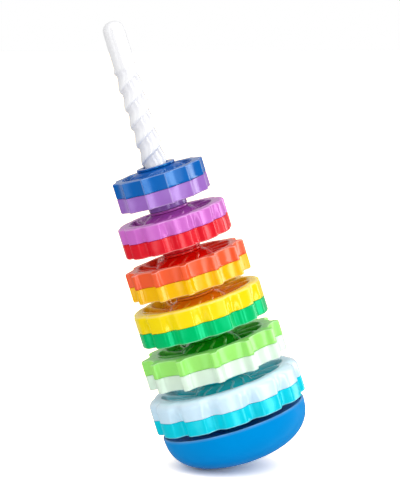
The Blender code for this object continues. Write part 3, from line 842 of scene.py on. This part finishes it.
@dataclass(frozen=True)
class CorkscrewPole:
    """The white pole: two-start corkscrew, smooth tip, and the foot inside the base.

    A ridge rises gently and falls steeply, each given as a start and a length in shares of the
    pitch. ridge_fade and core_swell start so far below the thread's top, and are so long.
    """

    top_z: float = 0.401
    tip_top_radius: float = 0.0094
    tip_root_radius: float = 0.0097
    tip_rounding: float = 0.0085
    tip_power: float = 0.85
    thread_top_z: float = 0.358
    thread_run_out: float = 0.004
    ridge_fade: Point = (0.001, 0.004)
    core_swell: Point = (0.002, 0.005)
    core_radius: float = 0.0092
    ridge_radius: float = 0.01095
    lead: float = 0.033
    starts: int = 2
    ridge_at_x_z: float = 0.2918
    ridge_share: float = 0.85
    ridge_rise: Point = (0.20, 0.60)
    ridge_fall: Point = (0.88, 0.11)
    ridge_edge: Point = (0.90, 0.05)
    ridge_highlight: float = 0.5
    bore_radius: float = 0.0062
    end_wall: float = 0.008
    foot_radius: float = 0.026
    foot_top: float = 0.0337
    foot_thickness: float = 0.0075
    step: float = 0.0006
    columns: int = 96

    def ridge(self, share: Array) -> Array:
        """Height of the ridge, as a share of its full height, across one start's pitch."""
        gentle = smooth_step((share - self.ridge_rise[0]) / self.ridge_rise[1])
        steep = 1 - smooth_step((share - self.ridge_fall[0]) / self.ridge_fall[1])
        return gentle * steep

    def inner_path(self) -> list[Point]:
        """The section from the closed end down the bore and round the foot, up to the core."""
        foot_low, end_low = self.foot_top - self.foot_thickness, self.top_z - self.end_wall
        end = spread([(AXIS_GAP, end_low), (self.bore_radius, end_low)], 0.003)
        bore = spread([(self.bore_radius, end_low), (self.bore_radius, foot_low)], 0.02)[1:]
        foot = [(self.foot_radius, foot_low), (self.foot_radius, self.foot_top)]
        core = (self.core_radius, self.foot_top)
        return end + bore + spread([bore[-1], *foot, core], 0.006)[1:]

    def section(self) -> tuple[Array, Array, Array]:
        """The pole's rows: radius, height, and how full the ridges are."""
        path = self.inner_path()
        thread_end = self.thread_top_z + self.thread_run_out
        heights = np.arange(self.foot_top + self.step, thread_end, self.step)
        past = heights - self.thread_top_z
        fade = 1 - smooth_step((past + self.ridge_fade[0]) / self.ridge_fade[1])
        swell = smooth_step((past + self.core_swell[0]) / self.core_swell[1])
        core = self.core_radius + (self.tip_root_radius - self.core_radius) * swell
        straight_top = self.top_z - self.tip_rounding
        tip_z = np.linspace(heights[-1] + self.step, straight_top, 12)
        along = (tip_z - tip_z[0]) / (tip_z[-1] - tip_z[0])
        tip_r = self.tip_root_radius + (self.tip_top_radius - self.tip_root_radius) * along
        angles = np.radians(np.linspace(0, 88, 20))[1:]
        end_r = self.tip_top_radius * np.cos(angles) ** self.tip_power
        end_z = straight_top + self.tip_rounding * np.sin(angles)
        radius = np.concatenate([[p[0] for p in path], core, tip_r, end_r])
        z = np.concatenate([[p[1] for p in path], heights, tip_z, end_z])
        full = np.concatenate([np.zeros(len(path)), fade, np.zeros(len(tip_r) + len(end_r))])
        return radius, z, full

    def make(self, dressing: Dressing) -> None:
        """Builds the pole as one closed surface: radius plus ridge height at each angle."""
        radius, z, full = (values[:, None] for values in self.section())
        angle = around(self.columns)
        pitch = 2 * math.pi / self.starts
        turned = angle[None, :] - 2 * math.pi * (z - self.ridge_at_x_z) / self.lead
        share = (turned / pitch + self.ridge_share) % 1.0
        height = self.ridge(share) * full
        r = radius + (self.ridge_radius - self.core_radius) * height
        points = np.stack([r * np.cos(angle), r * np.sin(angle), z + 0 * r], -1)
        grid = GridMesh("corkscrew_pole", points, capped=True)
        # Painted highlight along the edge of each ridge, and painted shade in the grooves between
        # ridges.
        grid.paint("edge", bell(share, *self.ridge_edge) * full * self.ridge_highlight)
        grid.paint("sunk_shade", (1 - height) * full)
        dressing.place(grid, POLE_WHITE, "pole", "base", "pole_white")


@dataclass(frozen=True)
class RockingBase:
    """The round-bottomed bowl, with the cover, ballast and screws that stay as solids.

    Its outer and inner curves stop at start above their floors. A painted highlight band runs along
    the rim; its field gives the band's depth and width.
    """

    rim_radius: float = 0.0643
    height: float = 0.0395
    power: float = 2.53
    crowding: float = 1.8
    start: Point = (0.0004, 0.0005)
    wall: float = 0.0026
    lip: float = 0.0007
    rim_highlight: Point = (0.0006, 0.004)
    foot_radius: float = 0.013
    post_radius: float = 0.012
    post_wall: float = 0.003
    post_top: float = 0.0259
    step: float = 0.006
    columns: int = 256

    def curve(self, offset: float, low: float, count: int) -> list[Point]:
        """Points down the bowl's superellipse, from under the rim, closer together low down.

        Args:
            offset: how far in from the outer face.
            low: the lowest height.
            count: how many points.
        """
        heights = low + (self.height - self.lip - low) * np.linspace(1, 0, count) ** self.crowding
        below = np.clip((self.height - heights) / (self.height - offset), 0, 1)
        radii = (self.rim_radius - offset) * (1 - below**self.power) ** (1 / self.power)
        return list(zip(radii.tolist(), heights.tolist()))

    def make(self, dressing: Dressing) -> None:
        """Builds the bowl and finishes the solids that it holds."""
        core = self.post_radius - self.post_wall
        path = [
            (AXIS_GAP, self.wall), (core, self.wall), (core, self.post_top),
            (self.post_radius, self.post_top), (self.post_radius, self.wall),
            *self.curve(self.wall, self.wall + self.start[1], 24)[::-1],
            (self.rim_radius - self.wall + self.lip, self.height),
            (self.rim_radius - self.lip, self.height),
            *self.curve(0.0, self.start[0], 40),
            (self.foot_radius, 0.0), (AXIS_GAP, 0.0),
        ]
        angle = around(self.columns)
        r, z = (values[:, None] for values in np.array(spread(path, self.step)).T)
        points = np.stack([r * np.cos(angle), r * np.sin(angle), z + 0 * angle], -1)
        grid = GridMesh("rocking_bowl", points, capped=True)
        # Painted highlight in a band along the rim.
        wear_depth, wear_width = self.rim_highlight
        edge = bell(z, self.height, wear_depth) * (r > self.rim_radius - wear_width)
        grid.paint("edge", edge + 0 * angle)
        dressing.place(grid, BASE_AZURE, "base_bowl", "base", "base_azure")
        dressing.repaint("base_cover", COVER_AZURE)
        dressing.repaint("ballast_weight", IRON)
        dressing.repaint("ballast_lock_ring", STEEL)
        for kind in ("pole", "cover"):
            for i in (1, 2, 3):
                dressing.repaint(f"{kind}_screw_{i}", STEEL)

    def contact_depth(self, up: Array) -> float:
        """How far below the origin a floor with this upward direction touches the bowl."""
        r, z = np.array(self.curve(0.0, 0.0, 400)).T
        return float(np.max(r * abs(up[0]) - z * up[2]))


@dataclass(frozen=True)
class SoftLight:
    """A rectangular area light that faces the toy's middle."""

    name: str
    place: Corner
    size: Point
    watts: float


@dataclass(frozen=True)
class Studio:
    """White floor under the leaning toy, soft lights, and the photograph's camera.

    The room is what reflections see. backdrop and ceiling are (from, to, low, high) steps of one
    coordinate of the direction. Each softbox is (middle, half width, strength), in degrees.
    """

    lean: float = math.radians(17.0)
    roll: float = math.radians(17.15)
    pitch: float = math.radians(7.73)
    yaw: float = math.radians(0.445)
    distance: float = 1.9725
    height: float = 0.4567
    focal_px: float = 2284.8
    frame_height_px: float = 500.0
    sensor: float = 36.0
    clip: Point = (0.05, 60.0)
    floor_half: float = 9.0
    floor_gap: float = 0.0002
    floor_colour: Colour = (0.93, 0.93, 0.93)
    floor_seen: Colour = (2.35, 1.95, 1.55)
    world_level: float = 0.80
    room_level: float = 0.03
    backdrop: tuple[float, float, float, float] = (0.5, 0.97, 0.0, 0.5)
    ceiling: tuple[float, float, float, float] = (0.6, 0.95, 0.0, 0.15)
    softboxes: tuple[Corner, ...] = (
        (-143, 9, 1.2), (-86, 8, 4.5), (-31, 11, 4.5), (26, 14, 4.0),
    )
    target: Corner = (0.0, 0.0, 0.18)
    lights: tuple[SoftLight, ...] = (
        SoftLight("key", (1.25, -1.05, 0.55), (1.4, 1.8), 11.0),
        SoftLight("fill", (-1.5, -1.2, 0.7), (1.2, 1.4), 3.0),
        SoftLight("top", (0.25, -0.35, 1.6), (1.3, 1.3), 5.0),
    )

    @property
    def up(self) -> Array:
        """The floor's upward direction in the toy's frame."""
        return np.array((math.sin(self.lean), 0.0, math.cos(self.lean)))

    def make_floor(self, base: RockingBase) -> None:
        """Lays the floor against the bowl: white to the camera, and clear from below."""
        up = self.up
        across = np.array((math.cos(self.lean), 0.0, -math.sin(self.lean)))
        along = np.array((0.0, 1.0, 0.0))
        centre = -up * (base.contact_depth(up) + self.floor_gap)
        corners = [
            centre + self.floor_half * (a * across + b * along)
            for a, b in ((-1, -1), (1, -1), (1, 1), (-1, 1))
        ]
        mesh = bpy.data.meshes.new("floor")
        mesh.from_pydata([tuple(c) for c in corners], [], [(0, 1, 2, 3)])
        mesh.materials.append(self.floor_material())
        floor = bpy.data.objects.new("floor", mesh)
        bpy.context.scene.collection.objects.link(floor)

    def floor_material(self) -> bpy.types.Material:
        """Matt white, brighter to the camera, clear in reflections and from below."""
        nodes = MaterialNodes("studio_floor")
        shader = nodes.shader
        shader.inputs["Roughness"].default_value = 0.9
        shader.inputs["Specular IOR Level"].default_value = 0.0
        path = nodes.add("ShaderNodeLightPath").outputs
        seen = nodes.blend(path["Is Camera Ray"], self.floor_colour, self.floor_seen)
        nodes.feed(seen, shader.inputs["Base Color"])
        under = nodes.add("ShaderNodeNewGeometry").outputs["Backfacing"]
        unseen = nodes.maths("MAXIMUM", under, path["Is Glossy Ray"])
        clear = nodes.add("ShaderNodeBsdfTransparent").outputs[0]
        side = nodes.add("ShaderNodeMixShader")
        for source, target in zip((unseen, shader.outputs[0], clear), side.inputs):
            nodes.feed(source, target)
        nodes.feed(side.outputs[0], nodes.output.inputs["Surface"])
        return nodes.material

    def make_world(self) -> None:
        """White to the camera, a plain soft level as light, and a softbox room in reflections."""
        world = bpy.data.worlds.new("studio")
        bpy.context.scene.world = world
        world.use_nodes = True
        nodes = NodeTools(world.node_tree)
        background = world.node_tree.nodes["Background"]
        background.inputs["Color"].default_value = (1.0, 1.0, 1.0, 1.0)
        path = nodes.add("ShaderNodeLightPath").outputs
        seen = nodes.maths("MAXIMUM", path["Is Camera Ray"], path["Is Transmission Ray"])
        level = nodes.mix(seen, self.world_level, 1.0)
        level = nodes.mix(path["Is Glossy Ray"], level, self.reflected_room(nodes))
        nodes.feed(level, background.inputs["Strength"])

    def reflected_room(self, nodes: NodeTools) -> Socket:
        """What reflections see: a dim room with a backdrop, a ceiling and upright softboxes.

        Each part is an eased step of one coordinate of the direction: +Y for the backdrop, +Z
        for the ceiling, and the angle from the softbox's middle for a softbox.
        """
        direction = nodes.add("ShaderNodeTexCoord").outputs["Generated"]
        split = nodes.add("ShaderNodeSeparateXYZ")
        nodes.feed(direction, split.inputs[0])
        axes = split.outputs
        total = nodes.mapped(axes["Y"], self.backdrop, "SMOOTHSTEP")
        total = nodes.maths("ADD", total, self.room_level)
        total = nodes.maths("ADD", total, nodes.mapped(axes["Z"], self.ceiling, "SMOOTHSTEP"))
        azimuth = nodes.maths("ARCTAN2", axes["Y"], axes["X"])
        for middle, half, strength in self.softboxes:
            off = nodes.maths("SUBTRACT", azimuth, math.radians(middle))
            edges = (math.radians(half), math.radians(half / 2), 0.0, strength)
            box = nodes.mapped(nodes.maths("ABSOLUTE", off), edges, "SMOOTHSTEP")
            total = nodes.maths("ADD", total, box)
        return total

    def make_lights(self) -> None:
        """Hangs a tall key light on the right, a fill on the left and a top light."""
        for row in self.lights:
            data = bpy.data.lights.new(row.name, "AREA")
            data.shape = "RECTANGLE"
            data.size, data.size_y = row.size
            data.energy = row.watts
            light = bpy.data.objects.new(row.name, data)
            bpy.context.scene.collection.objects.link(light)
            light.location = row.place
            back = np.array(row.place) - np.array(self.target)
            light.rotation_euler = look_rotation(back, np.array((0.0, 0.0, 1.0)))

    def make_camera(self) -> None:
        """Sets the photograph's view: tilted down, turned a little, and rolled by the lean."""
        data = bpy.data.cameras.new("camera")
        data.sensor_fit = "VERTICAL"
        data.sensor_height = self.sensor
        data.lens = self.focal_px * self.sensor / self.frame_height_px
        data.clip_start, data.clip_end = self.clip
        camera = bpy.data.objects.new("camera", data)
        bpy.context.scene.collection.objects.link(camera)
        cp, sp = math.cos(self.pitch), math.sin(self.pitch)
        cy, sy = math.cos(self.yaw), math.sin(self.yaw)
        forward = np.array((sy * cp, cy * cp, -sp))
        right = np.array((cy, -sy, 0.0))
        above = np.cross(right, forward)
        up = math.sin(self.roll) * right + math.cos(self.roll) * above
        camera.location = (0.0, -self.distance, self.height)
        camera.rotation_euler = look_rotation(-forward, up)
        bpy.context.scene.camera = camera

    def make(self, base: RockingBase) -> None:
        """Builds the whole studio round the toy."""
        bpy.context.scene.view_settings.view_transform = "Standard"
        self.make_floor(base)
        self.make_world()
        self.make_lights()
        self.make_camera()


def look_rotation(back: Array, up: Array) -> tuple[float, float, float]:
    """Euler angles that turn local +Z along back, away from the target, and +Y nearest up."""
    z = back / np.linalg.norm(back)
    x = np.cross(up, z)
    x /= np.linalg.norm(x)
    y = np.cross(z, x)
    return Matrix(np.stack([x, y, z], 1).tolist()).to_euler()


# The bowl's edge attribute lifts its colour a little, a painted highlight.
BASE_AZURE = MouldedPlastic(
    "azure_satin", (0.0, 0.265, 0.68), gloss=(0.38, 0.48), highlight_lift=0.2, specular=0.05,
    tint=(1.0, 0.45, 0.45),
)
COVER_AZURE = MouldedPlastic("azure_cover", (0.0, 0.22, 0.66), gloss=(0.36, 0.46), specular=0.12)
# The pole's second colour is a painted shade for its grooves.
POLE_WHITE = MouldedPlastic("pole_white_gloss", (0.88, 0.88, 0.90), sunk_shade_colour=(0.80, 0.80, 0.84))
ACETAL = MouldedPlastic("follower_acetal", (0.80, 0.80, 0.78), gloss=(0.35, 0.45))
IRON = Metal("ballast_cast_iron", (0.16, 0.16, 0.17), (0.5, 0.7), 400.0, 0.5)
STEEL = Metal("plated_steel", (0.60, 0.61, 0.63), (0.25, 0.4), 900.0, 0.1)
RIDGED_TOP = TopEdge(0.0015, 0.0015, 0.85, dip=0.0007)


@dataclass(frozen=True)
class DiscRow:
    """What sets one disc apart from the others."""

    rim: Rim
    turn_deg: float
    land: float
    upper: Colour
    # The next two colours are painted: a shade for the sunk face and its hub, and a highlight for
    # edges in the sunk face such as the ribs' lines.
    sunk_shade: Colour
    rib: Colour
    lower: Colour
    tint: Colour = MouldedPlastic.tint


DISC_TABLE: tuple[DiscRow, ...] = (
    DiscRow(
        Rim(ToothForm.SCALLOPED, 0.0409, 0.0027, 0.0137, TopEdge(0.0013, 0.0013, 0.9)), 7.0, 0.0057,
        upper=(0.002, 0.125, 0.48), sunk_shade=(0.002, 0.09, 0.40), rib=(0.03, 0.22, 0.62),
        lower=(0.35, 0.155, 0.56), tint=(0.55, 0.35, 0.30),
    ),
    DiscRow(
        Rim(ToothForm.LOBED, 0.0481, 0.0038, 0.0138, TopEdge(0.0020, 0.0030, 0.30)), -8.4, 0.0063,
        upper=(0.63, 0.155, 0.60), sunk_shade=(0.56, 0.10, 0.54), rib=(0.70, 0.22, 0.64),
        lower=(0.77, 0.008, 0.022),
    ),
    DiscRow(
        Rim(ToothForm.RIDGED, 0.0535, 0.0068, 0.0135, RIDGED_TOP), -3.2, 0.0037,
        upper=(0.93, 0.12, 0.036), sunk_shade=(0.92, 0.008, 0.003), rib=(0.95, 0.10, 0.05),
        lower=(1.0, 0.55, 0.0),
    ),
    DiscRow(
        Rim(ToothForm.LOBED, 0.0577, 0.0045, 0.0160, TopEdge(0.0030, 0.0053, 0.25)), -0.4, 0.0034,
        upper=(1.0, 0.75, 0.0), sunk_shade=(1.0, 0.34, 0.008), rib=(1.0, 0.62, 0.18),
        lower=(0.0, 0.53, 0.15),
    ),
    DiscRow(
        Rim(ToothForm.RIDGED, 0.0629, 0.0084, 0.0139, RIDGED_TOP), -0.2, 0.0062,
        upper=(0.36, 0.86, 0.17), sunk_shade=(0.012, 0.42, 0.006), rib=(0.34, 0.84, 0.12),
        lower=(0.75, 0.91, 0.76),
    ),
    DiscRow(
        Rim(ToothForm.LOBED, 0.0679, 0.0060, 0.0166, TopEdge(0.0065, 0.0085, 0.22)), -14.3, 0.0059,
        upper=(0.64, 0.84, 0.99), sunk_shade=(0.03, 0.72, 0.84), rib=(0.45, 0.98, 1.0),
        lower=(0.0, 0.64, 0.78), tint=(0.70, 0.45, 0.45),
    ),
)


def make_discs(dressing: Dressing) -> None:
    """Builds the six discs from the table, smallest first."""
    for number, row in enumerate(DISC_TABLE, 1):
        name = f"disc_{number}"
        disc = Disc(
            number=number,
            seam_z=SEAM_LOWEST + (len(DISC_TABLE) - number) * SEAM_PITCH,
            turn=math.radians(row.turn_deg),
            rim=row.rim,
            land=row.land,
            upper=MouldedPlastic(
                f"{name}_upper_gloss", row.upper, row.sunk_shade, sunk_highlight=row.rib, tint=row.tint
            ),
            lower=MouldedPlastic(f"{name}_lower_gloss", row.lower, tint=row.tint),
            # The bush is coloured with the sunk face's painted shade colour.
            bush=MouldedPlastic(f"{name}_bush_gloss", row.sunk_shade),
        )
        disc.make(dressing)


def main() -> None:
    """Loads the frame, dresses the toy and sets the studio."""
    logging.basicConfig(level=logging.INFO, format="%(message)s")
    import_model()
    dressing = Dressing()
    base = RockingBase()
    base.make(dressing)
    CorkscrewPole().make(dressing)
    make_discs(dressing)
    Studio().make(base)


if __name__ == "__main__":
    main()
